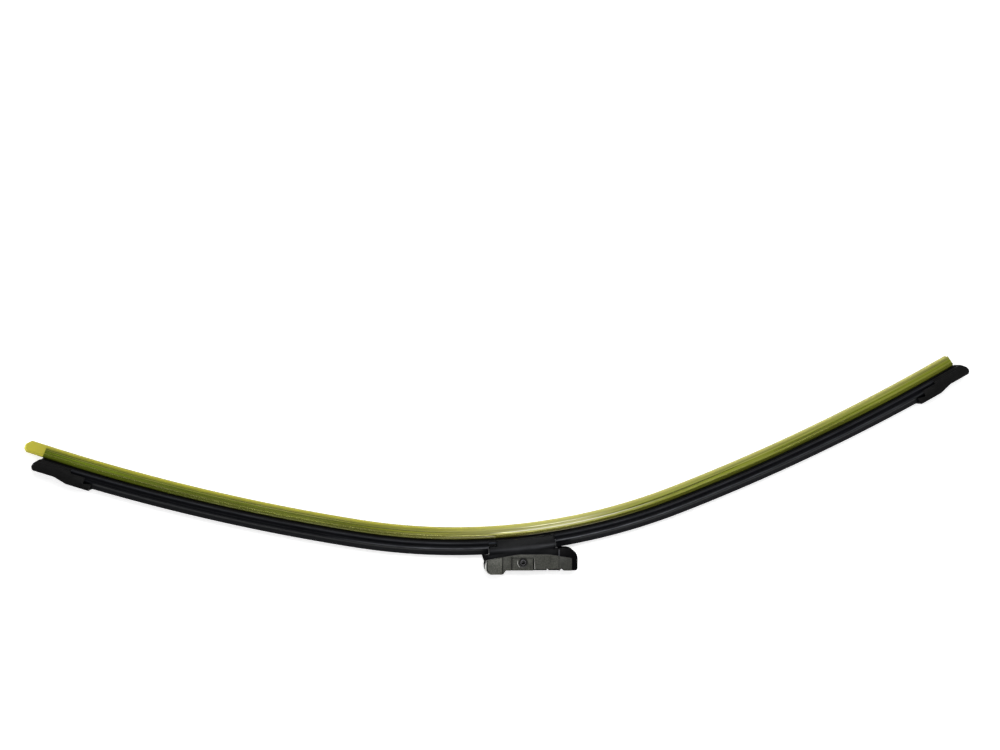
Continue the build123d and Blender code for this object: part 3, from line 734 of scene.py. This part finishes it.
# the same plastic in black: a dull half shine, with a painted highlight along the crease where the wall turns
# over into the roof
black_plastic = moulded_plastic("black_acetal_plastic", "#0c0d0e", "#141517", 0.42, 0.1, 0.04, 8)
paint_highlight_line(black_plastic, -5.0, 1.7, "#444548", (-24, 12, 0.35))
# the adapter's inside, the deepest black
core_plastic = moulded_plastic("jet_black_acetal_plastic", "#040405", "#09090b", 0.4, 0.03, 0.03, 8)
# a painted highlight down the near side of the core's right end
paint_core_highlight(core_plastic)
# nylon of the end caps, black and more matt
cap_plastic = moulded_plastic("black_nylon", "#090909", "#131313", 0.5, 0.1, 0.04, 8)
# spoiler rubber, soft black with little shine
spoiler_rubber = extruded_rubber("black_spoiler_rubber", "#0e0f11", "#1a1b1e", 0.42, 0.035)
# a painted highlight on the right spoiler's broken inner end
paint_edge_highlights(spoiler_rubber, "#707274")
# a painted highlight on the flared ridge, beside the bracket and along the right
paint_highlight_line(spoiler_rubber, -2.7, 0.65, "#6c6e73", (-130, -60, 0.0), (220, 60, 0.45))
# a painted highlight along the claws' outer faces
paint_highlight_line(spoiler_rubber, 0.8, 0.7, "#38393d")
# wiping rubber, darker and duller, seen through the sleeve
lip_rubber = extruded_rubber("black_wiping_rubber", "#060606", "#0e0e0f", 0.55, 0.15)
sleeve_plastic = clear_yellow_plastic()
# steel of the rivet, with painted shade in its bore and at its rim
rivet_steel = steel("blackened_rivet_steel", "#4a4a4c", "#666668", 0.4)
paint_rivet_shade(rivet_steel)
# blued steel of the rails, dark and smooth
rail_steel = steel("blued_spring_steel", "#2a2c30", "#3c3f45", 0.35)

place_camera()
place_light()
lay_floor()
make_rubber(lip_rubber)
make_sleeve(sleeve_plastic)
make_spoiler(-1, spoiler_rubber)
make_spoiler(1, spoiler_rubber)
# edges broken wider than the rest, marked for painted highlights: the lobe's rim, the slit's far side and the
# pivot collar's left
rim = (0.8, lambda p: on_cover_side(p) and p.x < -22.2 and p.y < 6.6)
slit = (0.45, lambda p: on_cover_side(p) and p.y < 9 and abs(p.x - 7.4) < 0.05)
collar = (0.3, lambda p: on_cover_side(p) and p.x < -2.4 and p.y < 6.4
          and abs(math.hypot(p.x, p.y - PIVOT.y / MM) - 3.9) < 0.1)
for node, name, body, material, slot, radius, softer in (
    ("adapter_housing", "arm_adapter", "adapter", grey_plastic, "adapter_plastic", 0.12, (rim, slit, collar)),
    ("adapter_core", "arm_adapter_core", "adapter", core_plastic, "core_plastic", 0.15, ()),
    ("connector_base", "rail_bracket", "blade", black_plastic, "base_plastic", 0.15, ()),
    ("end_cap_left", "cap_left", "blade", cap_plastic, "cap_plastic", 0.15, ()),
    ("end_cap_right", "cap_right", "blade", cap_plastic, "cap_plastic", 0.15, ()),
    ("pivot_rivet", "hollow_rivet", "blade", rivet_steel, "rivet_steel", 0.08, ()),
):
    piece = moulding(node, radius * MM, softer)
    if body == "blade":
        note_lie(piece, BLADE_PLACE.inverted())
    finish_piece(piece, name, body, material, slot, node)
for node in ("spring_rail_front", "spring_rail_rear"):
    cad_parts[node].data.materials.clear()
    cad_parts[node].data.materials.append(rail_steel)

bpy.context.scene.view_settings.view_transform = "Standard"
